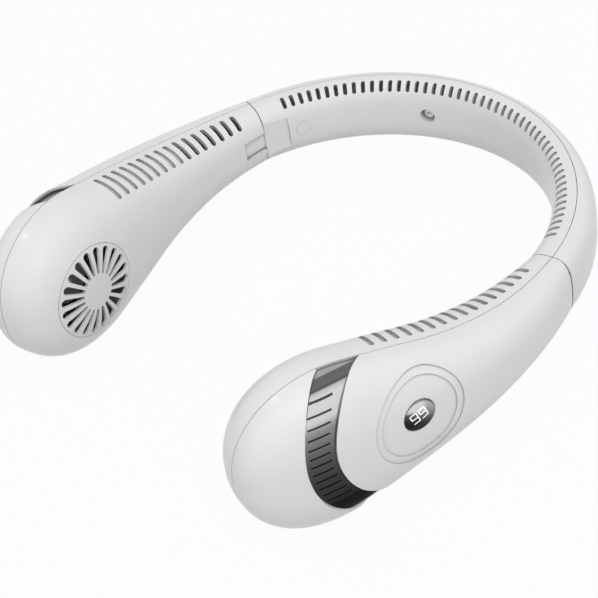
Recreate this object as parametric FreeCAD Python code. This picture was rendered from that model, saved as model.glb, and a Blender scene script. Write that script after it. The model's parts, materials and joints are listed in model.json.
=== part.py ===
import FreeCAD, Part
import math
import os

os.makedirs("parts", exist_ok=True)

V = FreeCAD.Vector
UP = V(0, 0, 1)
OUT = V(0, 1, 0)

# Plan of the collar and the two arms, in millimetres and degrees
collar_radius = 70.0
collar_half_angle = 76.0
arm_length = 121.0
arm_bend_radius = 127.0
bent_share = 0.5

# Sections, measured from the centre line: inner is the side by the neck
collar_inner_depth = 5.7
collar_half_height = 12.0
bulb_inner_depth = 17.8
bulb_half_height = 26.6
outer_depth_share = 0.83
arm_station_shares = (0.0, 0.2, 0.4, 0.6, 0.755)
arm_depth_shares = (0.472, 0.685, 0.843, 0.944, 1.0)
arm_height_shares = (0.41, 0.466, 0.624, 0.857, 1.0)
collar_power = 2.9
bulb_power = 2.5
nose_depth_power = 2.4
nose_height_power = 2.15
form_shares = (-0.06, 0.0, 0.08, 0.16, 0.24, 0.32, 0.4, 0.48, 0.56, 0.64, 0.7, 0.755)
nose_angles = (16.0, 32.0, 47.0, 60.0, 71.0, 80.0, 86.0)
collar_form_shares = (-1.05, -1.0, -0.86, -0.7, -0.5, -0.25, 0.0, 0.25, 0.5, 0.7, 0.86, 1.0, 1.05)
ring_points = 20
ring_start = 225.0

# Shells
wall = 1.8
parting_offset = 0.6
parting_gap = 0.16
overrun = 60.0
fit_gap = 0.05

# Air slots along the top inner edge
arm_slot_count = 16
arm_slot_first_share = 0.078
arm_slot_last_share = 0.587
collar_slot_count = 50
collar_slot_span_share = 0.885
collar_slot_width = 1.4
arm_slot_width = 1.7
collar_slot_end = -2.5
arm_slot_ends = (-2.2, -2.0)
collar_slot_low_shares = (0.7, 0.79)
arm_slot_low_shares = (0.73, 0.8)
slot_depth = 3.0
open_slot_count = 7
blind_slot_depth = 1.1

# Hinges
hinge_gap = 0.3
hinge_range = 12.0
relief_margin = 0.6
pivot_depth = 3.1
pin_radius = 0.9
barrel_radius = 1.9
knuckle_half_height = 3.6
ear_height = 2.6
running_clearance = 0.05
web_length = 7.0
web_start = 0.9
tongue_length = 8.6
tongue_half_height = 3.0
tongue_inset = 1.2
tongue_thickness = 1.5
notch_margin = 0.4
facet_length = 9.0
facet_depth = 0.9

# Intake grille and blower
grille_share = 0.79
grille_height = -0.3
grille_radius = 15.9
grille_clearance = 0.12
grille_thickness = 1.1
grille_slot_count = 20
grille_slot_outer = 14.9
grille_hub_radius = 6.2
grille_slot_narrow = 0.9
grille_slot_wide = 2.8
blower_front = -7.0
cover_thickness = 1.0
scroll_depth = 9.8
base_thickness = 1.2
scroll_radius = 16.2
scroll_wall = 1.0
outlet_half_width = 8.5
inlet_radius = 10.4
inlet_length = 4.4
ear_angles = (40.0, 210.0, 310.0)
ear_circle = 17.6
ear_radius = 2.1
post_radius = 2.1
screw_radius = 0.9
screw_head_radius = 1.6
screw_head_height = 1.0
screw_bite = 1.8
blower_head_radius = 1.3

# Impeller and motor
impeller_radius = 14.2
front_gap = 0.6
back_gap = 0.8
disc_thickness = 0.9
shroud_width = 1.9
blade_count = 22
blade_thickness = 0.7
blade_length = 4.2
blade_lean = 28.0
hub_radius = 7.3
hub_wall = 0.9
can_wall = 0.5
can_length = 6.0
magnet_wall = 1.0
air_gap = 0.4
stator_length = 3.6
stator_arm_count = 6
stator_arm_width = 1.5
stator_tip_depth = 0.7
coil_margin = 0.35
bush_radius = 1.9
shaft_radius = 0.75
shaft_clearance = 0.03

# Dish, display button and its board
dish_share = 0.553
dish_height = 4.0
dish_radius = 15.2
dish_drop = 0.9
dish_rim_width = 2.3
dish_rim_depth = 0.4
recess_depth = 0.8
lens_radius = 5.3
lens_clearance = 0.2
lens_flange = 0.8
lens_flange_thickness = 0.8
lens_flange_gap = 1.35
lens_dome = 0.5
lens_top = 0.9
lens_wall = 0.8
digit_radius = 3.7
digit_thickness = 1.5
button_travel = 0.5
board_thickness = 1.2
board_length = 21.0
board_top = 8.0
board_bottom = 15.5
board_depth = 4.6
pad_wall = 0.9
pad_margin = 0.3
switch_size = 4.4
switch_height = 1.5
stem_radius = 1.0
board_post_radius = 1.7
usb_width = 9.0
usb_height = 3.2
usb_length = 7.3
usb_wall = 0.35
usb_margin = 0.3
usb_tongue = 0.7

# Louver band round the dish
band_height = 5.5
band_inner_radius = 27.6
band_width = 9.4
band_start_angle = 84.0
band_end_angle = -72.0
band_steps = 22
band_gap = 0.12
band_thickness = 1.0
band_slot_count = 13
band_slot_width = 0.55
band_slot_top_share = 0.62
band_slot_bottom_share = -0.66
band_slot_margin = 1.5
arc_steps = 90
core_share = 0.55
reach_share = 1.3

# Cells and cables
cell_radius = 6.4
cell_length = 40.0
cell_start = 11.5
cell_height = -0.6
cell_cap_radius = 2.4
cell_cap_height = 1.2
cell_offset = 0.4
rib_thickness = 1.6
rib_shares = (0.18, 0.82)
rib_top = 3.0
cable_radius = 0.8
cable_lift = 0.5
cable_offset = -0.6
cable_end_gap = 7.0

# Collar screws
collar_screw_angles = (-63.0, -22.8, 22.8, 63.0)
plugged_angles = (-63.0, 22.8, 63.0)
collar_screw_height = 0.0
collar_post_radius = 2.3
recess_radius = 2.6
plug_thickness = 0.8
plug_inset = 0.25
seat_thickness = 1.0
screw_sink = 0.8


def smooth(u, stations, values):
    """Smooth line through the values at the stations, level at the last one."""
    last = len(stations) - 1
    slopes = []
    for k in range(last):
        low = max(k - 1, 0)
        slopes.append((values[k + 1] - values[low]) / (stations[k + 1] - stations[low]))
    slopes.append(0)
    k = 0
    while k < last - 1 and u > stations[k + 1]:
        k += 1
    span = stations[k + 1] - stations[k]
    f = (u - stations[k]) / span
    rise = values[k + 1] - values[k]
    a = slopes[k] * span - rise
    b = rise - slopes[k + 1] * span
    return values[k] + f * rise + f * (1 - f) * (a * (1 - f) + b * f)


def collar_at(s):
    """Plan point and heading on the collar, s along its arc from the back."""
    a = s / collar_radius
    return collar_radius * math.sin(a), collar_radius * math.cos(a), a


def arm_at(d):
    """Plan point and heading on the arm by +X, d along it from the hinge."""
    start = math.radians(collar_half_angle)
    x, y, h = collar_at(collar_radius * start)
    bend = bent_share * arm_length
    h = start + min(d, bend) / arm_bend_radius
    x += arm_bend_radius * (math.sin(h) - math.sin(start))
    y += arm_bend_radius * (math.cos(h) - math.cos(start))
    run = max(d - bend, 0)
    return x + run * math.cos(h), y - run * math.sin(h), h


def place(at, s, n, z):
    """Point n outward and z above the centre line at s."""
    x, y, h = at(s)
    return V(x + n * math.sin(h), y + n * math.cos(h), z)


def put(shape, at, s):
    """Shape drawn with X along the line, Y outward and Z up, moved to s on the line."""
    x, y, h = at(s)
    frame = FreeCAD.Placement(V(x, y, 0), FreeCAD.Rotation(UP, -math.degrees(h)))
    moved = shape.copy()
    moved.Placement = frame.multiply(moved.Placement)
    return moved


def rod(radius, low, high, x=0, z=0):
    """Round rod along Y between two outward distances."""
    return Part.makeCylinder(radius, high - low, V(x, low, z), OUT)


def post(radius, low, high, x=0, y=0):
    """Round rod along Z between two heights."""
    return Part.makeCylinder(radius, high - low, V(x, y, low), UP)


def block(x0, x1, y0, y1, z0, z1):
    """Box between its two corners."""
    return Part.makeBox(x1 - x0, y1 - y0, z1 - z0, V(x0, y0, z0))


def prism(points, direction):
    """Solid swept from a flat outline of corner points."""
    outline = Part.makePolygon(points + points[:1])
    return Part.Face(outline).extrude(direction)


def bulb_start():
    """Distance from the hinge to the tallest section."""
    return bulb_station_share() * arm_length


def bulb_station_share():
    """Share of the arm's length at the tallest section."""
    return arm_station_shares[-1]


def arm_section(d, inset):
    """Inner depth, outer depth, half height and power of the arm's section at d."""
    start = bulb_start()
    nose = arm_length - start - inset
    u = min(max((d - start) / nose, 0), 1)
    share = min(d / arm_length, bulb_station_share())
    depth = bulb_inner_depth * smooth(share, arm_station_shares, arm_depth_shares)
    height = bulb_half_height * smooth(share, arm_station_shares, arm_height_shares)
    depth_cap = (1 - u ** nose_depth_power) ** (1 / nose_depth_power)
    height_cap = (1 - u ** nose_height_power) ** (1 / nose_height_power)
    f = min(max(d / start, 0), 1)
    power = collar_power + (bulb_power - collar_power) * f
    inner = (depth - inset) * depth_cap
    outer = (depth * outer_depth_share - inset) * depth_cap
    return inner, outer, (height - inset) * height_cap, power


def collar_section(s, inset):
    """Inner depth, outer depth, half height and power of the collar's section at s."""
    f = min(abs(s) / (collar_radius * math.radians(collar_half_angle)), 1)
    ease = f * f * (3 - f - f)
    depth = collar_inner_depth + (bulb_inner_depth * arm_depth_shares[0] - collar_inner_depth) * ease
    height = collar_half_height + (bulb_half_height * arm_height_shares[0] - collar_half_height) * ease
    return depth - inset, depth * outer_depth_share - inset, height - inset, collar_power


def outline_point(section, angle):
    """Outward distance and height on a section's outline."""
    inner, outer, half_height, power = section
    c = math.cos(angle)
    s = math.sin(angle)
    depth = outer if c > 0 else inner
    n = math.copysign(abs(c) ** (2 / power), c) * depth
    return n, math.copysign(abs(s) ** (2 / power), s) * half_height


def ring(at, s, section):
    """Closed outline of a section at s on the line."""
    points = []
    for k in range(ring_points):
        n, z = outline_point(section, math.radians(ring_start) + 2 * math.pi * k / ring_points)
        points.append(place(at, s, n, z))
    curve = Part.BSplineCurve()
    steps = [k / ring_points for k in range(ring_points + 1)]
    curve.interpolate(Points=points, PeriodicFlag=True, Parameters=steps)
    return Part.Wire([curve.toShape()])


def arm_form(inset):
    """Whole arm as a solid, its skin moved in by the inset."""
    rings = []
    for share in form_shares:
        d = share * arm_length
        rings.append(ring(arm_at, d, arm_section(d, inset)))
    nose = arm_length - bulb_start() - inset
    for angle in nose_angles:
        d = bulb_start() + nose * math.sin(math.radians(angle))
        rings.append(ring(arm_at, d, arm_section(d, inset)))
    tip = Part.Vertex(place(arm_at, arm_length - inset, 0, 0))
    return Part.makeLoft(rings + [tip], True)


def collar_form(inset):
    """Whole collar as a solid, its skin moved in by the inset."""
    rings = []
    for share in collar_form_shares:
        s = share * collar_radius * math.radians(collar_half_angle)
        rings.append(ring(collar_at, s, collar_section(s, inset)))
    return Part.makeLoft(rings, True)


def layer(outer, inner):
    """Hollow solid between two nested forms."""
    faces = Part.makeCompound([outer.Shells[0], inner.Shells[0].reversed()])
    return Part.makeSolid(faces)


def arm_region(low, high):
    """Upright slab along the arm between two outward distances."""
    bend = bent_share * arm_length
    edges = []
    for n in (low, high):
        a = place(arm_at, -overrun / 2, n, -overrun)
        m = place(arm_at, bend / 2, n, -overrun)
        b = place(arm_at, bend, n, -overrun)
        c = place(arm_at, arm_length + overrun, n, -overrun)
        edges.append((Part.Arc(a, m, b).toShape(), Part.makeLine(b, c), a, c))
    first, second = edges
    loop = [first[0], first[1], Part.makeLine(first[3], second[3])]
    loop += [second[1], second[0], Part.makeLine(second[2], first[2])]
    face = Part.Face(Part.Wire(Part.__sortEdges__(loop)))
    return face.extrude(UP * (overrun + overrun))


def pivot_y():
    """Outward distance of the hinge pin at the seam."""
    return bulb_inner_depth * arm_depth_shares[0] * outer_depth_share - pivot_depth


def arm_seam_cut():
    """Everything on the collar's side of the arm's end face."""
    lean = math.tan(math.radians(hinge_range + relief_margin))
    y = pivot_y()
    points = [V(-overrun, -overrun, -overrun), V(hinge_gap, -overrun, -overrun)]
    points.append(V(hinge_gap, y, -overrun))
    points.append(V(hinge_gap + (overrun - y) * lean, overrun, -overrun))
    points.append(V(-overrun, overrun, -overrun))
    return put(prism(points, UP * (overrun + overrun)), arm_at, 0)


def collar_seam_cut():
    """Everything on the arm's side of the collar's end face."""
    return put(block(0, overrun, -overrun, overrun, -overrun, overrun), arm_at, 0)


def mirrored(shape):
    """Same shape on the other side of the neck."""
    return shape.mirror(V(0, 0, 0), V(1, 0, 0))


def slot_tool(section, low, end, width):
    """Air slot square to the top inner edge, from a height inside to an outward distance on top."""
    inner, outer, half_height, power = section
    n = -inner * (1 - (low / half_height) ** power) ** (1 / power)
    rise = half_height * (1 - (-end / inner) ** power) ** (1 / power) - low
    length = math.hypot(end - n, rise)
    r = width / 2
    shape = block(-r, r, r, length - r, -slot_depth, overrun)
    shape = shape.fuse([post(r, -slot_depth, overrun, 0, y) for y in (r, length - r)])
    shape.rotate(V(0, 0, 0), V(1, 0, 0), math.degrees(math.atan2(rise, end - n)))
    shape.translate(V(0, n, low))
    return shape


def arm_slots():
    """All air slots of one arm, open by the hinge and blind by the bulb."""
    tools = []
    floor = arm_form(blind_slot_depth)
    for k in range(arm_slot_count):
        f = k / (arm_slot_count - 1)
        d = arm_length * (arm_slot_first_share + (arm_slot_last_share - arm_slot_first_share) * f)
        share = arm_slot_low_shares[0] + (arm_slot_low_shares[1] - arm_slot_low_shares[0]) * f
        end = arm_slot_ends[0] + (arm_slot_ends[1] - arm_slot_ends[0]) * f
        section = arm_section(d, 0)
        tool = put(slot_tool(section, section[2] * share, end, arm_slot_width), arm_at, d)
        tools.append(tool if k < open_slot_count else tool.cut(floor))
    return tools


def collar_slots():
    """All air slots of the collar."""
    tools = []
    span = collar_radius * math.radians(collar_half_angle) * collar_slot_span_share
    for k in range(collar_slot_count):
        s = span * (2 * k / (collar_slot_count - 1) - 1)
        section = collar_section(s, 0)
        middle, end = collar_slot_low_shares
        share = middle + (end - middle) * abs(s) / span
        tool = slot_tool(section, section[2] * share, collar_slot_end, collar_slot_width)
        tools.append(put(tool, collar_at, s))
    return tools


def surface_walk(d, w):
    """Point on the arm's outer skin, w along the section's outline above the band's middle."""
    section = arm_section(d, 0)
    angle = math.asin(min(abs(band_height / section[2]), 1) ** (section[3] / 2))
    step = math.copysign(math.pi / 2 / arc_steps, w)
    left = abs(w)
    here = outline_point(section, angle)
    while left > 0:
        there = outline_point(section, angle + step)
        length = math.hypot(there[0] - here[0], there[1] - here[1])
        f = min(left / length, 1)
        here = (here[0] + (there[0] - here[0]) * f, here[1] + (there[1] - here[1]) * f)
        left -= length
        angle += step
    return here


def band_edge(radius, angles, share):
    """Curve at one distance from the dish along the skin, drawn at a share of the way out."""
    points = []
    for angle in angles:
        a = math.radians(angle)
        d = dish_share * arm_length + radius * math.cos(a)
        n, z = surface_walk(d, radius * math.sin(a))
        points.append(place(arm_at, d, n * share, z * share))
    curve = Part.BSplineCurve()
    curve.interpolate(points)
    return curve.toShape()


def band_tool(margin):
    """Solid through the skin under the louver band, smaller all round by the margin."""
    inner = band_inner_radius + margin
    outer = band_inner_radius + band_width - margin
    trim = math.degrees(margin / outer)
    span = band_start_angle - band_end_angle - trim
    angles = [band_start_angle - span * k / band_steps for k in range(band_steps + 1)]
    wires = []
    for share in (core_share, reach_share):
        a = band_edge(inner, angles, share)
        b = band_edge(outer, angles, share)
        first = Part.makeLine(a.valueAt(a.LastParameter), b.valueAt(b.LastParameter))
        last = Part.makeLine(a.valueAt(a.FirstParameter), b.valueAt(b.FirstParameter))
        wires.append(Part.Wire([a, first, b.reversed(), last]))
    return Part.makeLoft(wires, True, True)


def band_slots():
    """Short level slots across the louver band, one above another."""
    tools = []
    half = band_slot_width / 2
    top = band_inner_radius * band_slot_top_share
    bottom = band_inner_radius * band_slot_bottom_share
    for k in range(band_slot_count):
        z = top + (bottom - top) * k / (band_slot_count - 1)
        near = math.sqrt(band_inner_radius ** 2 - z * z) + band_slot_margin
        far = math.sqrt((band_inner_radius + band_width) ** 2 - z * z) - band_slot_margin
        tool = block(near, far, 0, overrun, z - half, z + half)
        tool.translate(V(0, 0, band_height))
        tools.append(put(tool, arm_at, dish_share * arm_length))
    return tools


def grille_rod(radius, high):
    """Round rod through the intake grille, from far inside the neck opening."""
    return put(rod(radius, -overrun, high, 0, grille_height), arm_at, grille_share * arm_length)


def grille_slots():
    """Radial slots of the intake grille, wide and round at the rim."""
    tools = []
    inner = grille_hub_radius
    r = grille_slot_wide / 2
    centre = grille_slot_outer - r
    half = grille_slot_narrow / 2
    for k in range(grille_slot_count):
        points = [V(inner, -overrun, -half), V(centre, -overrun, -r)]
        points += [V(centre, -overrun, r), V(inner, -overrun, half)]
        tool = prism(points, OUT * overrun).fuse(rod(r, -overrun, 0, centre))
        tool.rotate(V(0, 0, 0), OUT, 360 * k / grille_slot_count)
        tool.translate(V(0, 0, grille_height))
        tools.append(put(tool, arm_at, grille_share * arm_length))
    return tools


def intake_grille(skin):
    """Round grille that follows the skin of the bulb's inner face."""
    plate = layer(skin, arm_form(grille_thickness))
    blank = plate.common(grille_rod(grille_radius - grille_clearance, 0))
    return blank.cut(grille_slots())


def dish_centre_y():
    """Outward distance of the dish's floor at its centre."""
    section = arm_section(dish_share * arm_length, 0)
    return section[1] * (1 - (dish_height / section[2]) ** section[3]) ** (1 / section[3]) - recess_depth


def dish_cut(floor_form):
    """Shallow round dish in two steps, with floors that follow the skin."""
    outer = at_dish(rod(dish_radius, 0, overrun, 0, -dish_drop)).cut(arm_form(dish_rim_depth))
    inner = at_dish(rod(dish_radius - dish_rim_width, 0, overrun, 0, -dish_drop)).cut(floor_form)
    return [outer, inner]


def at_dish(shape):
    """Shape drawn about the dish's axis, moved to the dish."""
    shape.translate(V(0, 0, dish_height))
    return put(shape, arm_at, dish_share * arm_length)


def at_blower(shape):
    """Shape drawn about the blower's axis, moved to the blower."""
    shape.translate(V(0, 0, grille_height))
    return put(shape, arm_at, grille_share * arm_length)


def ear_points():
    """Places of the blower's fixing ears about its axis."""
    angles = [math.radians(angle) for angle in ear_angles]
    return [(ear_circle * math.cos(a), ear_circle * math.sin(a)) for a in angles]


def base_outer():
    """Outward distance of the blower base's back face."""
    return blower_front + cover_thickness + scroll_depth + base_thickness


def base_inner():
    """Outward distance of the blower base's front face."""
    return base_outer() - base_thickness


def blower_posts(core):
    """Posts from the outer shell that carry the blower."""
    posts = []
    for x, z in ear_points():
        solid = rod(post_radius, base_outer() + fit_gap, overrun, x, z)
        hole = rod(screw_radius + fit_gap, 0, base_outer() + screw_bite + fit_gap, x, z)
        posts.append(at_blower(solid.cut(hole)).common(core))
    return posts


def blower_screws():
    """Screws through the blower's ears."""
    screws = []
    y = base_inner() - fit_gap
    for x, z in ear_points():
        head = rod(blower_head_radius, y - screw_head_height, y, x, z)
        shank = rod(screw_radius, y, base_outer() + screw_bite, x, z)
        screws.append(at_blower(head.fuse(shank)))
    return Part.makeCompound(screws)


def outlet_block(low, high):
    """Way out of the scroll toward the hinge."""
    return block(-scroll_radius - ear_radius, 0, low, high, -outlet_half_width, outlet_half_width)


def blower_housing():
    """Base plate with the scroll wall, open toward the hinge."""
    front = blower_front + cover_thickness
    body = rod(scroll_radius, front, base_outer())
    body = body.cut(rod(scroll_radius - scroll_wall, front - overrun, base_inner()))
    body = body.cut(outlet_block(front - overrun, base_inner()))
    for x, z in ear_points():
        body = body.fuse(rod(ear_radius, base_inner(), base_outer(), x, z))
    for x, z in ear_points():
        body = body.cut(rod(screw_radius + fit_gap, -overrun, overrun, x, z))
    body = body.cut(rod(bush_radius, -overrun, overrun))
    return at_blower(body)


def blower_cover():
    """Front plate of the blower with its round inlet."""
    edge = blower_front + cover_thickness - fit_gap
    body = rod(scroll_radius, blower_front, edge)
    body = body.fuse(rod(inlet_radius + cover_thickness, blower_front - inlet_length, blower_front))
    body = body.cut(rod(inlet_radius, -overrun, overrun))
    return at_blower(body)


def impeller_front():
    """Outward distance of the impeller's front edge."""
    return blower_front + cover_thickness + front_gap


def impeller_back():
    """Outward distance of the impeller's back face."""
    return base_inner() - back_gap


def impeller():
    """Fan wheel with leaning blades between a back disc and a front ring."""
    front = impeller_front()
    back = impeller_back()
    body = rod(impeller_radius, back - disc_thickness, back)
    hoop = rod(impeller_radius, front, front + disc_thickness)
    body = body.fuse(hoop.cut(rod(impeller_radius - shroud_width, front - overrun, overrun)))
    blades = []
    for k in range(blade_count):
        blade = block(-blade_length, 0, front, back, -blade_thickness / 2, blade_thickness / 2)
        blade.rotate(V(0, 0, 0), OUT, blade_lean)
        blade.translate(V(impeller_radius - blade_thickness, 0, 0))
        blade.rotate(V(0, 0, 0), OUT, 360 * k / blade_count)
        blades.append(blade)
    body = body.fuse(blades)
    body = body.fuse(rod(hub_radius, front, back))
    body = body.cut(rod(hub_radius - hub_wall, front + hub_wall, overrun))
    body = body.common(rod(impeller_radius, front, back))
    body = body.cut(rod(shaft_radius, -overrun, overrun))
    return at_blower(body)


def can_front():
    """Outward distance of the rotor can's front."""
    return impeller_front() + hub_wall


def rotor_can():
    """Steel cup inside the hub."""
    outer = hub_radius - hub_wall
    body = rod(outer, can_front(), can_front() + can_length)
    body = body.cut(rod(outer - can_wall, can_front() + can_wall, overrun))
    return at_blower(body.cut(rod(shaft_radius, -overrun, overrun)))


def magnet_ring():
    """Ring magnet inside the rotor can."""
    outer = hub_radius - hub_wall - can_wall
    body = rod(outer, can_front() + can_wall, can_front() + can_length)
    return at_blower(body.cut(rod(outer - magnet_wall, -overrun, overrun)))


def shaft():
    """Motor shaft held in the hub."""
    return at_blower(rod(shaft_radius, impeller_front(), base_outer() - fit_gap))


def bush_front():
    """Outward distance of the bush's front end."""
    return can_front() + can_wall + air_gap


def bearing_bush():
    """Sleeve bearing that stands in the base plate."""
    body = rod(bush_radius, bush_front(), base_outer())
    return at_blower(body.cut(rod(shaft_radius + shaft_clearance, -overrun, overrun)))


def stator():
    """Wound stator on the bearing sleeve: tooth plates with a coil round each arm."""
    outer = hub_radius - hub_wall - can_wall - magnet_wall - air_gap
    front = bush_front() + air_gap
    back = front + stator_length
    body = rod(bush_radius + stator_tip_depth, front, back)
    for k in range(stator_arm_count):
        arm = block(0, outer - stator_tip_depth, front, back, -stator_arm_width / 2, stator_arm_width / 2)
        wide = stator_arm_width / 2 + coil_margin
        inner = bush_radius + stator_tip_depth
        coil = block(inner, outer - stator_tip_depth, front - coil_margin, back + coil_margin, -wide, wide)
        tooth = arm.fuse(coil)
        tooth.rotate(V(0, 0, 0), OUT, 360 * k / stator_arm_count)
        body = body.fuse(tooth)
    tips = rod(outer, front, back).cut(rod(outer - stator_tip_depth, -overrun, overrun))
    for k in range(stator_arm_count):
        slot = block(0, overrun, -overrun, overrun, -stator_tip_depth / 2, stator_tip_depth / 2)
        slot.rotate(V(0, 0, 0), OUT, 360 * k / stator_arm_count + 180 / stator_arm_count)
        tips = tips.cut(slot)
    body = body.fuse(tips)
    return at_blower(body.cut(rod(bush_radius, -overrun, overrun)))


def cell_frame():
    """Start point and direction of the battery cell."""
    a = place(arm_at, cell_start, cell_offset, cell_height)
    b = place(arm_at, cell_start + cell_length, cell_offset, cell_height)
    return a, (b - a).normalize()


def battery_cell():
    """Round cell with a raised contact at its front."""
    a, along = cell_frame()
    body = Part.makeCylinder(cell_radius, cell_length - cell_cap_height, a, along)
    cap_at = a + along * (cell_length - cell_cap_height)
    return body.fuse(Part.makeCylinder(cell_cap_radius, cell_cap_height, cap_at, along))


def cell_ribs(core):
    """Saddle ribs of the outer shell that hold the cell."""
    a, along = cell_frame()
    start = a - along * (overrun / 2)
    hole = Part.makeCylinder(cell_radius + fit_gap, cell_length + overrun, start, along)
    half = rib_thickness / 2
    ribs = []
    for share in rib_shares:
        d = cell_start + cell_length * share
        slab = block(-half, half, parting_offset + parting_gap, overrun, -overrun, rib_top)
        ribs.append(put(slab, arm_at, d).common(core).cut(hole))
    return ribs


def cable_height():
    """Height of the leads at the hinge, a little above the floor."""
    return wall + cable_lift + cable_radius - bulb_half_height * arm_height_shares[0]


def tube(first, middle, last):
    """Round cable along the arc through three points."""
    arc = Part.Arc(first, middle, last).toShape()
    heading = arc.tangentAt(arc.FirstParameter)
    profile = Part.Wire([Part.makeCircle(cable_radius, first, heading)])
    return Part.Wire([arc]).makePipeShell([profile], True, True)


def arm_cable():
    """Leads from the hinge along the floor of the arm to the blower."""
    first = cable_end_gap
    last = grille_share * arm_length - scroll_radius - ear_radius - ear_radius
    points = []
    for d in (first, (first + last) / 2, last):
        drop = arm_section(d, wall)[2] - arm_section(first, wall)[2]
        points.append(place(arm_at, d, cable_offset, cable_height() - drop))
    return tube(*points)


def collar_cable():
    """Leads along the floor of the collar from hinge to hinge."""
    end = collar_radius * math.radians(collar_half_angle) - cable_end_gap
    return tube(*[place(collar_at, s, cable_offset, cable_height()) for s in (-end, 0, end)])


def hinge_lead():
    """Short flexible lead across the hinge."""
    end = collar_radius * math.radians(collar_half_angle)
    points = [place(collar_at, end - cable_end_gap + fit_gap, cable_offset, cable_height())]
    points.append(place(arm_at, 0, cable_offset, cable_height()))
    points.append(place(arm_at, cable_end_gap - fit_gap, cable_offset, cable_height()))
    return tube(*points)


def at_pivot(shape):
    """Shape drawn about the hinge pin, moved to the hinge."""
    shape.translate(V(0, pivot_y(), 0))
    return put(shape, arm_at, 0)


def knuckle(core):
    """Middle hinge knuckle on the collar."""
    h = knuckle_half_height
    web = block(-web_length, -web_start, -barrel_radius, overrun, -h, h)
    web = at_pivot(web).common(core)
    neck = at_pivot(block(-web_start - web_start, 0, -barrel_radius, barrel_radius, -h, h))
    body = web.fuse(neck).fuse(at_pivot(post(barrel_radius, -h, h)))
    return body.cut(at_pivot(post(pin_radius, -overrun, overrun)))


def ear_levels():
    """Lower and upper heights of the two hinge ears of an arm."""
    low = knuckle_half_height + hinge_gap
    return [(low, low + ear_height), (-low - ear_height, -low)]


def ears(core):
    """Upper and lower hinge ears on an arm."""
    bodies = []
    for low, high in ear_levels():
        web = block(web_start, web_length, -barrel_radius, overrun, low, high)
        web = at_pivot(web).common(core)
        neck = at_pivot(block(0, web_start + web_start, -barrel_radius, barrel_radius, low, high))
        body = web.fuse(neck).fuse(at_pivot(post(barrel_radius, low, high)))
        bodies.append(body.cut(at_pivot(post(pin_radius + running_clearance, -overrun, overrun))))
    return bodies


def hinge_pin():
    """Steel pin through the ears and the knuckle."""
    end = knuckle_half_height + hinge_gap + ear_height
    return at_pivot(post(pin_radius, -end, end))


def knuckle_room():
    """Room for the collar's knuckle in the arm."""
    h = knuckle_half_height + hinge_gap
    return at_pivot(post(barrel_radius + hinge_gap, -h, h))


def ear_room():
    """Room for the arm's ears in the collar."""
    rooms = []
    for low, high in ear_levels():
        rooms.append(at_pivot(post(barrel_radius + hinge_gap, low - hinge_gap, high + hinge_gap)))
    return rooms


def tongue():
    """Plate of the collar that bridges the seam on the neck side."""
    h = tongue_half_height
    plate = layer(arm_form(tongue_inset), arm_form(tongue_inset + tongue_thickness))
    window = block(-facet_length / 3, tongue_length, -overrun, -tongue_thickness, -h, h)
    return plate.common(put(window, arm_at, 0))


def notch():
    """Room for the tongue in the arm's inner wall."""
    h = tongue_half_height + notch_margin
    return put(block(0, tongue_length + notch_margin, -overrun, -tongue_thickness, -h, h), arm_at, 0)


def facet():
    """Flat relief on the neck side of the collar next to the seam."""
    depth = collar_section(collar_radius * math.radians(collar_half_angle), 0)[0]
    points = [V(-facet_length, -depth, -overrun)]
    points.append(V(facet_length, facet_depth + facet_depth - depth, -overrun))
    points.append(V(facet_length, -depth - overrun, -overrun))
    points.append(V(-facet_length, -depth - overrun, -overrun))
    return put(prism(points, UP * (overrun + overrun)), arm_at, 0)


def screw_frame(angle):
    """Distance along the collar and outer skin depth at a screw."""
    s = collar_radius * math.radians(angle)
    return s, collar_section(s, 0)


def screw_seat(angle):
    """Outward distance of the seat under a collar screw's head."""
    return -screw_frame(angle)[1][0] + wall + screw_sink + seat_thickness


def collar_posts(core):
    """Screw posts inside the collar's outer shell."""
    bodies = []
    for angle in collar_screw_angles:
        s, section = screw_frame(angle)
        y = screw_seat(angle) + fit_gap
        solid = rod(collar_post_radius, y, overrun, 0, collar_screw_height)
        hole = rod(screw_radius + fit_gap, -overrun, section[1] - wall, 0, collar_screw_height)
        bodies.append(put(solid.cut(hole), collar_at, s).common(core))
    return bodies


def collar_sockets(core):
    """Sockets behind the screw holes of the collar's inner shell."""
    bodies = []
    for angle in collar_screw_angles:
        s, section = screw_frame(angle)
        radius = collar_post_radius + seat_thickness
        solid = rod(radius, -overrun, screw_seat(angle), 0, collar_screw_height)
        bodies.append(put(solid, collar_at, s).common(core))
    return bodies


def collar_holes():
    """Stepped holes for the collar screws."""
    bodies = []
    for angle in collar_screw_angles:
        s, section = screw_frame(angle)
        y = screw_seat(angle)
        wide = rod(recess_radius, -overrun, y - seat_thickness, 0, collar_screw_height)
        thin = rod(screw_radius + fit_gap, -overrun, y + seat_thickness, 0, collar_screw_height)
        bodies.append(put(wide.fuse(thin), collar_at, s))
    return bodies


def collar_screws():
    """Screws that hold the two collar shells together."""
    bodies = []
    for angle in collar_screw_angles:
        s, section = screw_frame(angle)
        y = screw_seat(angle) - seat_thickness - fit_gap
        head = rod(screw_head_radius, y - screw_head_height, y, 0, collar_screw_height)
        cross = block(-screw_radius, screw_radius, -overrun, y - screw_head_height / 2, 0, screw_radius / 2)
        shank = rod(screw_radius, y, section[1] - wall - fit_gap, 0, collar_screw_height)
        bodies.append(put(head.fuse(shank).cut(cross), collar_at, s))
    return Part.makeCompound(bodies)


def screw_plugs(skin):
    """Round plugs that close the outer two screw holes."""
    bodies = []
    for angle in plugged_angles:
        s, section = screw_frame(angle)
        face = -section[0]
        back = face + plug_inset + plug_thickness
        body = rod(recess_radius - fit_gap, face - wall, back, 0, collar_screw_height)
        bodies.append(put(body, collar_at, s).common(skin))
    return Part.makeCompound(bodies)


def lens_back():
    """Outward distance of the back of the lens."""
    return dish_centre_y() + recess_depth - wall - lens_flange_gap - lens_flange_thickness


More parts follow.
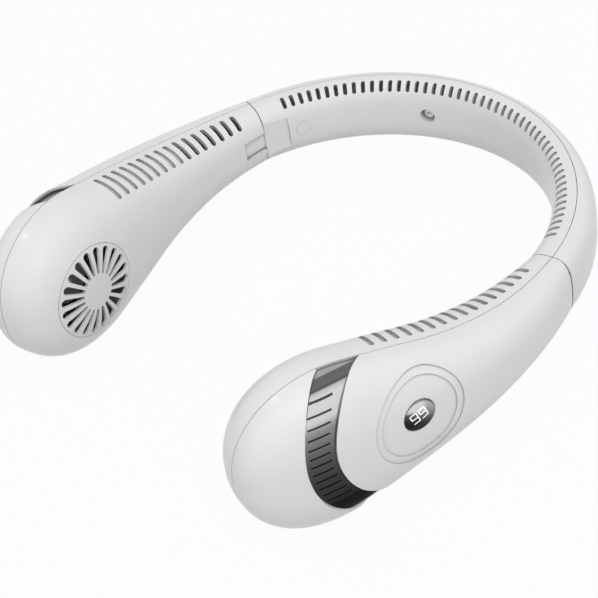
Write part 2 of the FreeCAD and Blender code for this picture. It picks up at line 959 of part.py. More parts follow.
def board_face():
    """Outward distance of the board's outer face."""
    return lens_back() - board_depth + board_thickness


def display_lens():
    """Round domed lens of the display, which is the push button."""
    radius = lens_radius - lens_clearance
    y = lens_back()
    edge = dish_centre_y()
    ball = (radius * radius + lens_dome * lens_dome) / (lens_dome + lens_dome)
    body = rod(radius, y, edge + lens_dome)
    body = body.common(Part.makeSphere(ball, V(0, edge + lens_dome - ball, 0)))
    body = body.fuse(rod(radius + lens_flange, y, y + lens_flange_thickness))
    body = body.cut(rod(radius - lens_wall, y - overrun, edge - lens_top))
    return at_dish(body)


def digit_back():
    """Outward distance of the back of the number display."""
    return dish_centre_y() - lens_top - fit_gap - digit_thickness


def digit_block():
    """Lit number display inside the lens."""
    return at_dish(rod(digit_radius, digit_back(), digit_back() + digit_thickness))


def main_board():
    """Circuit board behind the dish."""
    half = board_length / 2
    body = block(-half, half, board_face() - board_thickness, board_face(), -board_bottom, board_top)
    return at_dish(body)


def board_posts(core):
    """Posts of the outer shell that the board rests on."""
    x = board_length / 2 - board_post_radius
    z = board_top - board_post_radius
    places = ((-x, z), (x, z), (x, board_post_radius - board_bottom + usb_height))
    low = board_face() + fit_gap
    return [at_dish(rod(board_post_radius, low, overrun, x, z)).common(core) for x, z in places]


def tact_switch():
    """Push switch on the board under the lens."""
    half = switch_size / 2
    y = board_face() + fit_gap
    body = block(-half, half, y, y + switch_height, -half, half)
    return at_dish(body.fuse(rod(stem_radius, y, digit_back() - button_travel - hinge_gap)))


def return_pad():
    """Soft ring that pushes the lens back out."""
    inner = digit_radius + pad_margin
    body = rod(inner + pad_wall, board_face() + fit_gap, lens_back() - fit_gap)
    return at_dish(body.cut(rod(inner, -overrun, overrun)))


def usb_prism(width, height, low, high, y):
    """Upright bar with a round-ended outline."""
    r = height / 2
    x = width / 2 - r
    body = block(-x, x, y - r, y + r, low, high)
    return body.fuse(post(r, low, high, x, y)).fuse(post(r, low, high, -x, y))


def usb_level():
    """Outward distance of the socket's middle."""
    return board_face() - board_thickness - usb_height / 2 - fit_gap


def usb_mouth():
    """Height of the socket's mouth about the dish's centre."""
    section = arm_section(dish_share * arm_length, 0)
    drop = section[2] * (1 - (usb_level() / section[1]) ** section[3]) ** (1 / section[3])
    return -drop - dish_height + wall / 2


def usb_socket():
    """Charging socket under the board, open downward."""
    low = usb_mouth()
    y = usb_level()
    body = usb_prism(usb_width, usb_height, low, low + usb_length, y)
    thin = usb_wall + usb_wall
    inside = usb_prism(usb_width - thin, usb_height - thin, low - overrun, low + usb_length - thin, y)
    side = usb_width / 3
    half = usb_tongue / 2
    blade = block(-side, side, y - half, y + half, low + thin, low + usb_length - thin)
    return at_dish(body.cut(inside).fuse(blade))


def usb_opening():
    """Hole in the shell's underside for the charging plug."""
    wide = usb_margin + usb_margin
    top = usb_mouth() + usb_length
    return at_dish(usb_prism(usb_width + wide, usb_height + wide, -overrun, top, usb_level()))


def build_arm():
    """Solids of the arm by +X without its display, by name, and the forms they share."""
    skin = arm_form(0)
    core = arm_form(wall / 2)
    cavity = arm_form(wall)
    floor_form = arm_form(recess_depth)
    hollow = layer(skin, cavity).cut(arm_seam_cut())
    half = parting_gap / 2
    outer_side = arm_region(parting_offset + half, overrun)
    inner_side = arm_region(-overrun / 2, parting_offset - half)
    core_outer = core.common(outer_side).cut(arm_seam_cut())
    nodes = {}
    inner = hollow.common(inner_side).cut(grille_rod(grille_radius, 0))
    inner = inner.cut(arm_slots()).cut(notch())
    nodes["inner_shell"] = inner
    outer = hollow.common(outer_side)
    window = band_tool(0)
    outer = outer.cut(window).cut(knuckle_room())
    outer = outer.fuse(blower_posts(core_outer) + cell_ribs(core_outer) + ears(core_outer))
    nodes["outer_shell"] = outer
    nodes["intake_grille"] = intake_grille(skin)
    strip = layer(floor_form, arm_form(recess_depth + band_thickness))
    nodes["louver_band"] = strip.common(band_tool(band_gap)).common(outer_side).cut(band_slots())
    nodes["blower_housing"] = blower_housing()
    nodes["blower_cover"] = blower_cover()
    nodes["blower_screws"] = blower_screws()
    nodes["impeller"] = impeller()
    nodes["rotor_can"] = rotor_can()
    nodes["magnet_ring"] = magnet_ring()
    nodes["motor_shaft"] = shaft()
    nodes["bearing_bush"] = bearing_bush()
    nodes["stator"] = stator()
    nodes["battery_cell"] = battery_cell()
    nodes["arm_cable"] = arm_cable()
    nodes["hinge_pin"] = hinge_pin()
    nodes["hinge_lead"] = hinge_lead()
    return nodes, floor_form, core_outer


def build_display(outer, floor_form, core_outer):
    """Outer shell with its dish, and the solids of the display."""
    nodes = {}
    hole = at_dish(rod(lens_radius, 0, overrun))
    shell = outer.cut(dish_cut(floor_form)).cut(hole).cut(usb_opening())
    nodes["right_outer_shell"] = shell.fuse(board_posts(core_outer))
    nodes["display_lens"] = display_lens()
    nodes["digit_block"] = digit_block()
    nodes["main_board"] = main_board()
    nodes["tact_switch"] = tact_switch()
    nodes["return_pad"] = return_pad()
    nodes["usb_socket"] = usb_socket()
    return nodes


def build_collar():
    """Solids of the collar, by name."""
    skin = collar_form(0)
    core = collar_form(wall / 2)
    cavity = collar_form(wall)
    ends = [collar_seam_cut(), mirrored(collar_seam_cut())]
    hollow = layer(skin, cavity).cut(ends)
    half = parting_gap / 2
    inside = post(collar_radius + parting_offset - half, -overrun, overrun)
    outside = post(collar_radius + parting_offset + half, -overrun, overrun)
    nodes = {}
    outer = hollow.cut(outside)
    rooms = ear_room()
    outer = outer.cut(rooms + [mirrored(r) for r in rooms])
    core_outer = core.cut(ends).cut(outside)
    joint = knuckle(core_outer)
    nodes["collar_outer_shell"] = outer.fuse([joint, mirrored(joint)] + collar_posts(core_outer))
    inner = hollow.common(inside).fuse(collar_sockets(core.common(inside)))
    bridge = tongue()
    relief = facet()
    inner = inner.cut([relief, mirrored(relief)]).fuse([bridge, mirrored(bridge)])
    nodes["collar_inner_shell"] = inner.cut(collar_slots() + collar_holes())
    nodes["collar_screws"] = collar_screws()
    nodes["screw_plugs"] = screw_plugs(skin)
    nodes["collar_cable"] = collar_cable()
    return nodes


def assemble():
    """Every node by its file name, about the collar's centre."""
    arm, floor_form, core_outer = build_arm()
    nodes = build_collar()
    for name, solid in arm.items():
        nodes["left_" + name] = mirrored(solid)
        nodes["right_" + name] = solid
    nodes.update(build_display(arm["outer_shell"], floor_form, core_outer))
    return nodes


def export(nodes):
    """Move the whole part over the middle of its underside and write each node."""
    whole = Part.makeCompound(list(nodes.values()))
    box = whole.optimalBoundingBox(False)
    shift = V(-(box.XMin + box.XMax) / 2, -(box.YMin + box.YMax) / 2, -box.ZMin)
    for name in sorted(nodes):
        solid = nodes[name].copy()
        solid.translate(shift)
        solid.exportStep("parts/" + name + ".step")
        print(name, len(solid.Solids), round(solid.Volume, 2), solid.isValid())
    print("shift", shift, "size", box.XLength, box.YLength, box.ZLength)


export(assemble())
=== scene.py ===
# %% [markdown]
# A neck fan rests on the shoulders: a curved collar joins two hollow arms, and each arm swells into a bulb
# with a small blower inside. The solids already have every shape that matters, so this lesson is mostly
# about finish: how to make plain moulded plastic look moulded, how to light white on white, and how to add
# the lit number. The model is loaded first, because every later piece is placed from it.

# %% Load the solids and keep their box
import bmesh
import bpy
import json
import math
from mathutils import Matrix, Vector


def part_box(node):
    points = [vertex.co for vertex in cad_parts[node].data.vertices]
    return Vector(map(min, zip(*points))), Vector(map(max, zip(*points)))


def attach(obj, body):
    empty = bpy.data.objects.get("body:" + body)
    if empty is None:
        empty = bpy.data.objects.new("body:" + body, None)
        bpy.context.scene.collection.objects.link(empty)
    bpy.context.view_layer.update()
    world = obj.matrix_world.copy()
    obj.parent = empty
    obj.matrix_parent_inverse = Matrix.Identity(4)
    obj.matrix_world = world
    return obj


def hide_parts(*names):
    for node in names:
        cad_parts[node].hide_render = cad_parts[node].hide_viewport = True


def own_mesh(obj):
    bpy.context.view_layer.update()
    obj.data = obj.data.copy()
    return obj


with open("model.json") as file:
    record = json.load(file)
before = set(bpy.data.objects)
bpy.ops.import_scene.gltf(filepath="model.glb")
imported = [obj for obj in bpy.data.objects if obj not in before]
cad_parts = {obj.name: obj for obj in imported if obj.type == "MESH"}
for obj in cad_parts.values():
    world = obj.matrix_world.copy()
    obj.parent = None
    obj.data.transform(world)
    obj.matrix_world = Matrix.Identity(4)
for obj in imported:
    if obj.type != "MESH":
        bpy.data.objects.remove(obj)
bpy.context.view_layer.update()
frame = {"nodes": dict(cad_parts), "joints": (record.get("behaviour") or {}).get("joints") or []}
nodes = frame["nodes"]

# %% [markdown]
# The camera comes early, because every later choice is judged through it. The photograph looks down on the
# fan from the right front with a long lens, so the far collar is hardly smaller than the near bulb. A long
# lens could be faked with an orthographic camera, but then the collar would lose its slight taper, so a real
# one is used. The picture is also turned a little, and that turn is part of the camera's own axes.

# %% Camera
collar_centre = Vector((0, 0.013784, 0.026609))
azimuth = math.radians(53.38)
elevation = math.radians(39.62)
turn = math.radians(-10.04)
distance = 0.58424
aim_right = -0.01845
aim_up = -0.02294
focal_pixels = 1817.9
picture_pixels = 598
sensor_width = 36

flat = math.cos(elevation)
back = Vector((flat * math.sin(azimuth), -flat * math.cos(azimuth), math.sin(elevation)))
level = Vector((math.cos(azimuth), math.sin(azimuth), 0))
upright = back.cross(level)
right = level * math.cos(turn) + upright * math.sin(turn)
up = upright * math.cos(turn) - level * math.sin(turn)

lens = bpy.data.cameras.new("photo_camera")
lens.sensor_width = sensor_width
lens.lens = focal_pixels / picture_pixels * sensor_width
camera = bpy.data.objects.new("photo_camera", lens)
bpy.context.scene.collection.objects.link(camera)
eye = collar_centre + back * distance + right * aim_right + up * aim_up
axes = Matrix((right, up, back)).transposed().to_4x4()
camera.matrix_world = Matrix.Translation(eye) @ axes
bpy.context.scene.camera = camera
print("camera at", [round(c, 3) for c in eye], "lens", round(lens.lens, 1), "mm")

# %% [markdown]
# Shader maths is easier to read as arithmetic than as a list of nodes. One small class wraps an output
# socket and turns +, - and * into Math nodes, and its one method adds any other node with its settings and
# its sockets.


# %% A socket that does arithmetic
class Wire:
    """An output socket of a material, or the start of one."""

    def __init__(self, tree, socket=None):
        self.tree = tree
        self.socket = socket

    def add(self, kind, settings=None, sockets=None, output=0):
        """A new node: its settings first, then the values or links of its sockets."""
        node = self.tree.nodes.new("ShaderNode" + kind)
        for name, value in (settings or {}).items():
            if name == "stops":
                ramp = node.color_ramp.elements
                while len(ramp) < len(value):
                    ramp.new(1.0)
                for stop, (position, shade) in zip(ramp, value):
                    stop.position = position
                    stop.color = shade
            else:
                setattr(node, name, value)
        for name, value in (sockets or {}).items():
            self.join(node.inputs[name], value)
        return Wire(self.tree, node.outputs[output])

    def join(self, socket, value):
        """Links a wire to a socket, or sets a plain value on it."""
        if isinstance(value, Wire):
            self.tree.links.new(value.socket, socket)
        else:
            socket.default_value = value

    def sum(self, operation, first, second):
        return self.add("Math", {"operation": operation}, {0: first, 1: second})

    def __add__(self, other):
        return self.sum("ADD", self, other)

    def __radd__(self, other):
        return self.sum("ADD", other, self)

    def __sub__(self, other):
        return self.sum("SUBTRACT", self, other)

    def __rsub__(self, other):
        return self.sum("SUBTRACT", other, self)

    def __mul__(self, other):
        return self.sum("MULTIPLY", self, other)

    def __rmul__(self, other):
        return self.sum("MULTIPLY", other, self)


print("wires ready")

# %% [markdown]
# A few short helpers take up what every finish needs: a blank material to start from, a way to set its
# shader, plain greys and tints, and the three sums that come back again and again. These are a colour
# between two others, how far a value lies between two levels, and the parts of a place. Mix has several
# sockets of one name, so its colour sockets are picked by their numbers, once, here. A noise runs from zero
# to one, so its middle is named as well.

# %% Helpers for the finishes
noise_middle = 0.5


def blank_finish(name):
    """A material with one shader, and a wire to add nodes with."""
    finish = bpy.data.materials.new(name)
    finish.use_nodes = True
    tree = finish.node_tree
    tree.nodes.clear()
    shader = tree.nodes.new("ShaderNodeBsdfPrincipled")
    output = tree.nodes.new("ShaderNodeOutputMaterial")
    tree.links.new(shader.outputs[0], output.inputs[0])
    return finish, Wire(tree), shader


def set_shader(wire, shader, sockets):
    for name, value in sockets.items():
        wire.join(shader.inputs[name], value)


def grey(value):
    return (value, value, value, 1.0)


def tint(shade, share):
    """A colour made darker or lighter by a share."""
    return [min(channel * share, 1.0) for channel in shade] + [1.0]


def blend(share, low, high):
    """A colour between two others, by a wire from zero to one."""
    return share.add("Mix", {"data_type": "RGBA"}, {0: share, 6: low, 7: high}, 2)


def portion(value, low, high, kind="LINEAR"):
    """How far a wire lies from one level to another, held between zero and one."""
    levels = {"Value": value, "From Min": low, "From Max": high}
    return value.add("MapRange", {"interpolation_type": kind}, levels)


def coordinates(place):
    """The three parts of a place, each on a wire of its own."""
    parts = place.add("SeparateXYZ", None, {0: place}).socket.node.outputs
    return [Wire(place.tree, parts[axis]) for axis in "XYZ"]


print("finish helpers ready")

# %% [markdown]
# The fan stands on a plain pale floor. The camera and the mirrors see that floor as white: its own shading
# is mixed with a glow that only those rays meet, and a little of the true shading keeps the shadow. A
# brighter floor would also be white, but it would throw light back up, and the undersides would lose their
# grey. A finished bmesh becomes an object in the same way for every piece, so that is a helper too.

# %% Floor
floor_size = 6.0
floor_drop = 0.0004
floor_shade = 0.46
floor_shadow = 0.04


def seen_rays(wire):
    """One for the rays of the camera and of mirrors, and zero for the light that is passed on."""
    rays = wire.add("LightPath").socket.node.outputs
    seen = Wire(wire.tree, rays["Is Camera Ray"]) + Wire(wire.tree, rays["Is Glossy Ray"])
    return wire.sum("MINIMUM", seen + Wire(wire.tree, rays["Is Transmission Ray"]), 1.0)


def new_piece(name, bm, finish):
    """An object at the origin from a finished bmesh."""
    mesh = bpy.data.meshes.new(name)
    bm.to_mesh(mesh)
    bm.free()
    mesh.materials.append(finish)
    piece = bpy.data.objects.new(name, mesh)
    bpy.context.scene.collection.objects.link(piece)
    return piece


floor_finish, wire, shader = blank_finish("pale_floor")
set_shader(wire, shader, {"Base Color": grey(floor_shade), "Roughness": 0.9})
glow = wire.add("Emission", None, {"Color": grey(1.0), "Strength": 1.0})
glow_share = seen_rays(wire) * (1 - floor_shadow)
both = wire.add("MixShader", None, {0: glow_share, 1: Wire(wire.tree, shader.outputs[0]), 2: glow})
wire.join(floor_finish.node_tree.nodes["Material Output"].inputs[0], both)

bm = bmesh.new()
bmesh.ops.create_grid(bm, x_segments=1, y_segments=1, size=floor_size / 2)
bmesh.ops.translate(bm, verts=bm.verts, vec=(0, 0, -floor_drop))
floor = new_piece("floor", bm, floor_finish)
print("floor of", floor_size, "m")

# %% [markdown]
# White plastic on a white ground only reads through its shading. An even sky alone would leave the fan flat,
# so one broad lamp lights it from above. A small lamp from the right lifts the near bulb, and another from
# the left leaves a glint on the gloss; the first two don't shine in mirrors, so the dark band stays clean.

# %% Sky and lamps
sky_level = 0.53

world = bpy.data.worlds.new("soft_sky")
bpy.context.scene.world = world
world.use_nodes = True
world.node_tree.nodes.clear()
sky = Wire(world.node_tree)
dim = sky.add("Background", None, {"Color": grey(1.0), "Strength": sky_level})
white = sky.add("Background", None, {"Color": grey(1.0), "Strength": 1.0})
mixed = sky.add("MixShader", None, {0: seen_rays(sky), 1: dim, 2: white})
ground = world.node_tree.nodes.new("ShaderNodeOutputWorld")
sky.join(ground.inputs[0], mixed)


def softbox(name, place, size, watts, mirrored):
    """A square lamp that faces the middle of the fan, and that shines in mirrors or not."""
    lamp = bpy.data.lights.new(name, "AREA")
    lamp.shape = "SQUARE"
    lamp.size = size
    lamp.energy = watts
    box = bpy.data.objects.new(name, lamp)
    bpy.context.scene.collection.objects.link(box)
    toward = collar_centre - Vector(place)
    facing = toward.to_track_quat("-Z", "Y").to_matrix().to_4x4()
    box.matrix_world = Matrix.Translation(place) @ facing
    box.visible_glossy = mirrored


softbox("key_lamp", place=(0.8, -0.55, 1.35), size=0.9, watts=13, mirrored=False)
softbox("side_lamp", place=(1.1, -0.3, 0.6), size=0.18, watts=0.8, mirrored=False)
softbox("glint_lamp", place=(-0.62, -0.28, 1.0), size=0.12, watts=0.4, mirrored=True)
bpy.context.scene.view_settings.view_transform = "Standard"
print("sky at", sky_level, "and", len(bpy.data.lights), "lamps")

# %% [markdown]
# Nearly everything on the fan is injection-moulded plastic. Such a wall is never one flat colour: the melt
# leaves faint clouds, the mould leaves a fine even grain, and every edge of the tool has a small radius that
# catches the light. A photo texture could show this, but three procedural layers do it at any scale: a slow
# noise for the clouds, a fast noise for the grain's height and gloss, and a bevelled normal for the edges. A
# fourth layer is painted shade: it darkens the colour of what lies deep in a slot or a seam, where light
# falls off, so the less open air a point sees, the darker.

# %% Moulded plastic
cloud_scale = 38.0
cloud_shares = (0.965, 1.025)
cloud_gloss = 0.06
grain_gloss = 0.12
painted_shade_share = 0.45
painted_shade_reach = 0.0025
painted_shade_levels = (0.2, 0.95)


def moulded(name, shade, gloss, grain, depth, edge, coat=0.0):
    """Moulded plastic of one colour: clouds, painted shade in slots and seams, grain and soft edges."""
    finish, wire, shader = blank_finish(name)
    place = wire.add("TexCoord", None, None, "Object")
    cloud = wire.add("TexNoise", None, {"Vector": place, "Scale": cloud_scale, "Detail": 3.0})
    fine = wire.add("TexNoise", None, {"Vector": place, "Scale": grain, "Detail": 2.0})
    clouded = blend(cloud, *[tint(shade, share) for share in cloud_shares])
    # painted shade: the colour darkens deep in slots and seams, the less open air a point sees
    painted_shade_openness = wire.add("AmbientOcclusion", {"samples": 8}, {"Distance": painted_shade_reach}, "AO")
    tone = blend(portion(painted_shade_openness, *painted_shade_levels), tint(shade, painted_shade_share), clouded)
    round_edge = wire.add("Bevel", {"samples": 6}, {"Radius": edge})
    bumps = {"Height": fine, "Strength": 0.35, "Distance": depth, "Normal": round_edge}
    surface = wire.add("Bump", None, bumps)
    rough = gloss + (fine - noise_middle) * grain_gloss + (cloud - noise_middle) * cloud_gloss
    set_shader(wire, shader, {"Base Color": tone, "Roughness": rough, "Normal": surface, "IOR": 1.5})
    set_shader(wire, shader, {"Coat Weight": coat, "Coat Roughness": 0.12})
    return finish


shell_white = moulded(
    "satin_white_shell", shade=(0.80, 0.80, 0.802), gloss=0.34, grain=1500.0, depth=0.00001, edge=0.0003,
    coat=0.25,
)
grille_white = moulded(
    "satin_white_grille", shade=(0.79, 0.79, 0.79), gloss=0.38, grain=1800.0, depth=0.00001, edge=0.00025
)
blower_grey = moulded(
    "dark_blower_plastic", shade=(0.05, 0.05, 0.052), gloss=0.5, grain=1300.0, depth=0.00002, edge=0.0002
)
wheel_grey = moulded(
    "grey_fan_wheel", shade=(0.22, 0.22, 0.225), gloss=0.42, grain=1300.0, depth=0.00002, edge=0.00015
)
switch_black = moulded(
    "black_switch_plastic", shade=(0.02, 0.02, 0.02), gloss=0.45, grain=1600.0, depth=0.00002, edge=0.0001
)
soft_rubber = moulded(
    "soft_pad_rubber", shade=(0.32, 0.32, 0.33), gloss=0.7, grain=900.0, depth=0.00003, edge=0.0001
)
print("plastics ready")

# %% [markdown]
# The louver band is a strip of dark plated plastic. A painted reflection lies in its colour, in stages: a
# pale stripe under the rim, a dark stripe, a bright field, and then a long fade to black at the foot. It
# could be a plain black gloss, but then the bright field would be lost, so a metal whose colour follows the
# way down the strip is used, with the reflection painted into that colour. That way is measured as the
# distance outward less the height, which grows steadily over the shoulder and down the side.

# %% Dark plated strip
painted_reflection_stages = [
    (0.0220, 0.38), (0.0241, 0.38), (0.0244, 0.13), (0.0276, 0.14), (0.0286, 0.08), (0.0294, 0.5),
    (0.0315, 0.68), (0.0395, 0.62), (0.0420, 0.34), (0.0440, 0.24), (0.0480, 0.17), (0.0540, 0.085),
    (0.0610, 0.048), (0.0720, 0.034),
]
plating_gloss = 0.08
plating_spread = 0.06


def plated(name, outward, stages):
    """Dark mirror plating with a painted reflection that follows the way down the strip, from a list of ways
    and shades.
    """
    finish, wire, shader = blank_finish(name)
    place = wire.add("TexCoord", None, None, "Object")
    across, along, height = coordinates(place)
    way = wire.sum("ABSOLUTE", across, 0.0) * outward.x + along * outward.y - height
    first, last = stages[0][0], stages[-1][0]
    share = portion(way, first, last)
    fine = wire.add("TexNoise", None, {"Vector": place, "Scale": 700.0, "Detail": 2.0})
    # painted reflection: each stage's shade stands in for a stripe of light or dark that the gloss would
    # mirror
    stops = [((level - first) / (last - first), grey(shade)) for level, shade in stages]
    tone = wire.add("ValToRGB", {"stops": stops}, {0: share})
    round_edge = wire.add("Bevel", {"samples": 6}, {"Radius": 0.0002})
    bumps = {"Height": fine, "Strength": 0.1, "Distance": 0.000004, "Normal": round_edge}
    surface = wire.add("Bump", None, bumps)
    rough = plating_gloss + fine * plating_spread
    set_shader(wire, shader, {"Base Color": tone, "Metallic": 0.85, "Roughness": rough, "Normal": surface})
    set_shader(wire, shader, {"Specular Tint": grey(0.25), "Specular IOR Level": 0.2})
    return finish


press = next(joint for joint in frame["joints"] if joint["name"] == "button_press")
outward = -Vector(press["axis"])
band_painted_reflection = plated("dark_band_painted_reflection", outward, painted_reflection_stages)
print("plating in", len(painted_reflection_stages), "stages")

# %% [markdown]
# The display is a small domed lens of smoked plastic that doubles as the push button. Its colour holds a
# painted reflection: the fade from black at the foot to grey at the top and to one side, and a bright patch
# at the top, are painted across the lens itself. A dark rim of painted shade lies where the lens meets its
# seat. The levels are shares of the lens's radius.

# %% Smoked lens
lens_radius = 0.0051
lens_dome = 0.0005
fade_slope = 0.6
painted_reflection_fade = [
    (0.0, 0.002), (0.1, 0.004), (0.25, 0.015), (0.45, 0.09), (0.55, 0.18), (0.68, 0.28), (1.0, 0.5),
]
cloud_share = 0.1
patch_slope = 0.3
patch_rise_shares = (0.16, 0.44)
patch_side_shares = (0.15, 0.6)
painted_reflection_patch_shade = 0.76
rim_shares = (0.93, 1.02)
painted_rim_shade = 0.06
painted_rim_strength = 0.8
lens_gloss = 0.12
lens_spread = 0.05


def smoked(name, middle, sideways, reach):
    """Black gloss with a painted reflection, grey to one side and bright in a patch at the top, and a
    painted-shade rim.
    """
    finish, wire, shader = blank_finish(name)
    place = wire.add("TexCoord", None, None, "Object")
    x, y, z = coordinates(place)
    aside = x * sideways.x + y * sideways.y - middle.dot(sideways)
    rise = z - middle.z
    cloud = wire.add("TexNoise", None, {"Vector": place, "Scale": 300.0, "Detail": 2.0})
    # painted reflection: grey toward the top and one side, black at the foot, and a bright patch at the top
    slant = rise + aside * fade_slope + (cloud - noise_middle) * reach * cloud_share
    stops = [(level, grey(shade)) for level, shade in painted_reflection_fade]
    fade = wire.add("ValToRGB", {"stops": stops}, {0: portion(slant, -reach, reach)})
    top = portion(rise + aside * patch_slope, *[reach * share for share in patch_rise_shares], "SMOOTHSTEP")
    near = 1 - portion(aside, *[reach * share for share in patch_side_shares], "SMOOTHSTEP")
    painted_reflection_patch = blend(top * near, fade, grey(painted_reflection_patch_shade))
    # painted shade: the rim darkens where the lens sits in its seat
    off_middle = aside * aside + rise * rise
    rim = portion(off_middle, *[(reach * share) ** 2 for share in rim_shares], "SMOOTHSTEP")
    tone = blend(rim * painted_rim_strength, painted_reflection_patch, grey(painted_rim_shade))
    rough = lens_gloss + cloud * lens_spread
    set_shader(wire, shader, {"Base Color": tone, "Roughness": rough, "IOR": 1.2})
    return finish


display_low, display_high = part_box("digit_block")
display_middle = (display_low + display_high) / 2
reading = Vector((0, 0, 1)).cross(outward)
lens_black = smoked("smoked_lens", display_middle, reading, lens_radius)
print("lens of", round(2000 * lens_radius, 1), "mm")

# %% [markdown]
# Inside are the parts that make it work: steel pins and screws, a bronze sleeve, a ferrite ring, copper
# windings, a wrapped cell, insulated leads and a green board. They hardly show through the slots, but the
# part is reused with its shells open, so each one has a finish of its own. One recipe covers the metals and,
# with no metal in it, the wrap and the leads: fine drawn lines change its tone and gloss. Another covers the
# board, with tracks from two crossed bands.

# %% Metals and the rest of the inside
line_stretch = (1.0, 1.0, 8.0)
line_share = 0.85
line_gloss = 0.2
track_level = 0.86
mask_green = (0.01, 0.09, 0.035, 1)
track_green = (0.03, 0.2, 0.08, 1)
board_gloss = 0.3
board_spread = 0.1


def drawn_metal(name, shade, gloss, lines, metal=1.0):
    """Turned or drawn metal, or a smooth wrap, with fine lines in its tone and gloss."""
    finish, wire, shader = blank_finish(name)
    place = wire.add("TexCoord", None, None, "Object")
    stretch = wire.add("Mapping", None, {"Vector": place, "Scale": line_stretch})
    line = wire.add("TexNoise", None, {"Vector": stretch, "Scale": lines, "Detail": 3.0})
    tone = blend(line, tint(shade, line_share), tint(shade, 1.0))
    surface = wire.add("Bump", None, {"Height": line, "Strength": 0.2, "Distance": 0.00001})
    rough = gloss + (line - noise_middle) * line_gloss
    set_shader(wire, shader, {"Base Color": tone, "Metallic": metal, "Roughness": rough, "Normal": surface})
    return finish


def board_green(name):
    """Solder mask with slightly raised tracks."""
    finish, wire, shader = blank_finish(name)
    place = wire.add("TexCoord", None, None, "Object")
    across_waves = {"Vector": place, "Scale": 190.0, "Distortion": 1.5}
    across = wire.add("TexWave", {"bands_direction": "Z"}, across_waves, 1)
    along_waves = {"Vector": place, "Scale": 120.0, "Distortion": 2.5}
    along = wire.add("TexWave", {"bands_direction": "Y"}, along_waves, 1)
    track = wire.sum("GREATER_THAN", wire.sum("MAXIMUM", across, along), track_level)
    tone = blend(track, mask_green, track_green)
    surface = wire.add("Bump", None, {"Height": track, "Strength": 0.4, "Distance": 0.00004})
    rough = board_gloss + across * board_spread
    set_shader(wire, shader, {"Base Color": tone, "Roughness": rough, "Normal": surface})
    return finish


bright_steel = drawn_metal("bright_steel", shade=(0.62, 0.62, 0.63), gloss=0.28, lines=900.0)
plated_can = drawn_metal("plated_can_steel", shade=(0.5, 0.5, 0.52), gloss=0.32, lines=700.0)
bronze = drawn_metal("sintered_bronze", shade=(0.55, 0.36, 0.17), gloss=0.42, lines=1200.0)
copper = drawn_metal("copper_windings", shade=(0.72, 0.32, 0.16), gloss=0.36, lines=2600.0)
ferrite = drawn_metal("ferrite_magnet", shade=(0.06, 0.06, 0.065), gloss=0.6, lines=1500.0, metal=0.2)
cell_wrap = drawn_metal("cell_wrap", shade=(0.045, 0.046, 0.05), gloss=0.35, lines=400.0, metal=0.0)
lead_cover = drawn_metal("lead_insulation", shade=(0.03, 0.03, 0.032), gloss=0.5, lines=800.0, metal=0.0)
green_board = board_green("green_board")
print("inner finishes ready")

# %% [markdown]
# Each solid keeps its own mesh and takes a finish by name. The solids of the left and right arm have the
# same finishes, so the names are matched by their endings.

# %% Give every solid its finish
finish_by_ending = {
    "outer_shell": shell_white,
    "inner_shell": shell_white,
    "screw_plugs": shell_white,
    "intake_grille": grille_white,
    "louver_band": band_painted_reflection,
    "display_lens": lens_black,
    "digit_block": switch_black,
    "blower_housing": blower_grey,
    "blower_cover": blower_grey,
    "impeller": wheel_grey,
    "rotor_can": plated_can,
    "magnet_ring": ferrite,
    "motor_shaft": bright_steel,
    "bearing_bush": bronze,
    "stator": copper,
    "battery_cell": cell_wrap,
    "arm_cable": lead_cover,
    "collar_cable": lead_cover,
    "hinge_lead": lead_cover,
    "hinge_pin": bright_steel,
    "collar_screws": bright_steel,
    "blower_screws": bright_steel,
    "main_board": green_board,
    "tact_switch": switch_black,
    "return_pad": soft_rubber,
    "usb_socket": plated_can,
}
for name, solid in nodes.items():
    ending = next(e for e in finish_by_ending if name.endswith(e))
    solid.data.materials.clear()
    solid.data.materials.append(finish_by_ending[ending])
print("finishes given to", len(nodes), "solids")

# %% [markdown]
# The lens shows the charge as two lit figures. Such a figure has seven bars, and a nine lights six of them.
# Text from a font would be quicker, but its strokes are not bars. Here each bar is a small block with its
# ends cut to points, and the finished figures are pressed onto the dome so that they follow it. A bar's
# place is given in halves of the figure, with a note of whether it stands.

# %% Lit figures on the lens
figure_width = 0.0024
figure_height = 0.0038
figure_pitch = 0.0029
figure_place = (-0.00035, 0.0004)
figure_tilt = math.radians(20)
bar_width = 0.00031
bar_height = 0.00006
bar_rise = bar_height / 4
bar_gap = 0.00008
point_share = 0.45
dot_shades = (0.86, 1.0)
dot_gloss = 0.4
dot_spread = 0.1
lit_strength = 0.5
nine_bars = [(0, 1, 0), (0, 0, 0), (0, -1, 0), (-1, 0.5, 1), (1, 0.5, 1), (1, -0.5, 1)]


def lit(name):
    """White light with a fine uneven tone."""
    finish, wire, shader = blank_finish(name)
    place = wire.add("TexCoord", None, None, "Object")
    dots = wire.add("TexNoise", None, {"Vector": place, "Scale": 2500.0, "Detail": 1.0})
    tone = blend(dots, *[grey(shade) for shade in dot_shades])
    set_shader(wire, shader, {"Base Color": tone, "Roughness": dot_gloss + dots * dot_spread})
    set_shader(wire, shader, {"Emission Color": tone, "Emission Strength": lit_strength})
    return finish


def add_bar(bm, length):
    """A level bar at the middle with pointed ends. Gives its vertices."""
    made = bmesh.ops.create_cube(bm, size=1.0)["verts"]
    bmesh.ops.scale(bm, verts=made, vec=(length, bar_width, bar_height))
    edges = {edge for v in made for edge in v.link_edges}
    corners = [e for e in edges if abs(e.verts[0].co.z - e.verts[1].co.z) > bar_height / 2]
    offset = bar_width * point_share
    cut = bmesh.ops.bevel(
        bm, geom=corners, offset=offset, affect="EDGES", segments=1, profile=0.5, material=-1
    )
    return list({v for f in cut["faces"] for v in f.verts} | {v for v in made if v.is_valid})


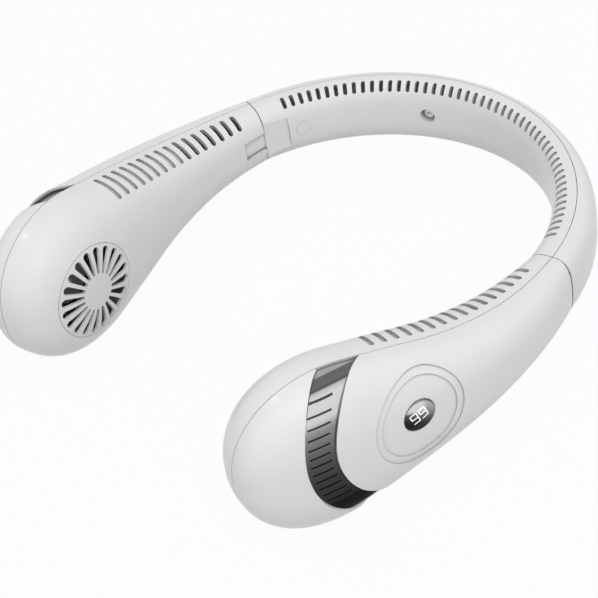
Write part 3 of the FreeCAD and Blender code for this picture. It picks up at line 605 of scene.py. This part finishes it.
bm = bmesh.new()
for side in (-0.5, 0.5):
    for across, along, standing in nine_bars:
        room = figure_height / 2 if standing else figure_width
        bar = add_bar(bm, room - 2 * bar_gap)
        if standing:
            bmesh.ops.rotate(bm, verts=bar, cent=(0, 0, 0), matrix=Matrix.Rotation(math.pi / 2, 3, "Z"))
        x = side * figure_pitch + across * (figure_width - bar_width) / 2
        y = along * (figure_height - bar_width) / 2
        bmesh.ops.translate(bm, verts=bar, vec=(x, y, 0))
bmesh.ops.rotate(bm, verts=bm.verts, cent=(0, 0, 0), matrix=Matrix.Rotation(figure_tilt, 3, "Z"))
bmesh.ops.translate(bm, verts=bm.verts, vec=(*figure_place, 0))

lens_points = nodes["display_lens"].data.vertices
crown = max((v.co - display_middle).dot(outward) for v in lens_points)
ball = (lens_radius ** 2 + lens_dome ** 2) / (2 * lens_dome)
for v in bm.verts:
    x, y, z = v.co
    drop = ball - math.sqrt(ball ** 2 - x * x - y * y)
    v.co = display_middle + reading * x + Vector((0, 0, y)) + outward * (crown - drop + z + bar_rise)
bmesh.ops.recalc_face_normals(bm, faces=bm.faces)
figures = new_piece("charge_figures", bm, lit("lit_figures"))
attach(figures, "power_button")
print("figures of", len(figures.data.polygons), "faces, crown at", round(1000 * crown, 2), "mm")

# %% [markdown]
# A soft rubber ring sits behind the lens and pushes it back out after each press. A rigid ring would be cut
# by the lens, so this one replaces the solid. A rounded rectangle is spun once round the button's axis,
# which gives a ring with soft edges in a few lines.

# %% Soft ring behind the lens
pad_wall = 0.0009
pad_edge = 0.0002
pad_edge_steps = 3
pad_steps = 48
press_travel = press["range_m"][1]

pad_low, pad_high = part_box("return_pad")
pad_middle = (pad_low + pad_high) / 2
pad_radius = (pad_high.z - pad_low.z) / 2
pad_length = (pad_high.x - pad_low.x - 2 * pad_radius * abs(outward.y)) / abs(outward.x)

bm = bmesh.new()
bmesh.ops.create_grid(bm, x_segments=1, y_segments=1, size=0.5)
bmesh.ops.scale(bm, verts=bm.verts, vec=(pad_wall, pad_length, 1))
bmesh.ops.bevel(
    bm, geom=bm.verts[:], offset=pad_edge, affect="VERTICES", segments=pad_edge_steps,
    profile=0.5, material=-1,
)
bmesh.ops.delete(bm, geom=bm.faces[:], context="FACES_ONLY")
bmesh.ops.translate(bm, verts=bm.verts, vec=(pad_radius - pad_wall / 2, 0, 0))
bmesh.ops.spin(
    bm, geom=bm.verts[:] + bm.edges[:], cent=(0, 0, 0), axis=(0, 1, 0),
    angle=2 * math.pi, steps=pad_steps, use_merge=True,
)
pad_axes = Matrix((-reading, outward, Vector((0, 0, 1)))).transposed().to_4x4()
bmesh.ops.transform(bm, verts=bm.verts, matrix=Matrix.Translation(pad_middle) @ pad_axes)
bmesh.ops.recalc_face_normals(bm, faces=bm.faces)
pad = new_piece("soft_return_ring", bm, soft_rubber)
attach(pad, "right_arm")
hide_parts("return_pad")
1 - press_travel / pad_length
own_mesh(pad)
print("ring of", len(pad.data.polygons), "faces,", round(1000 * pad_length, 2), "mm long")
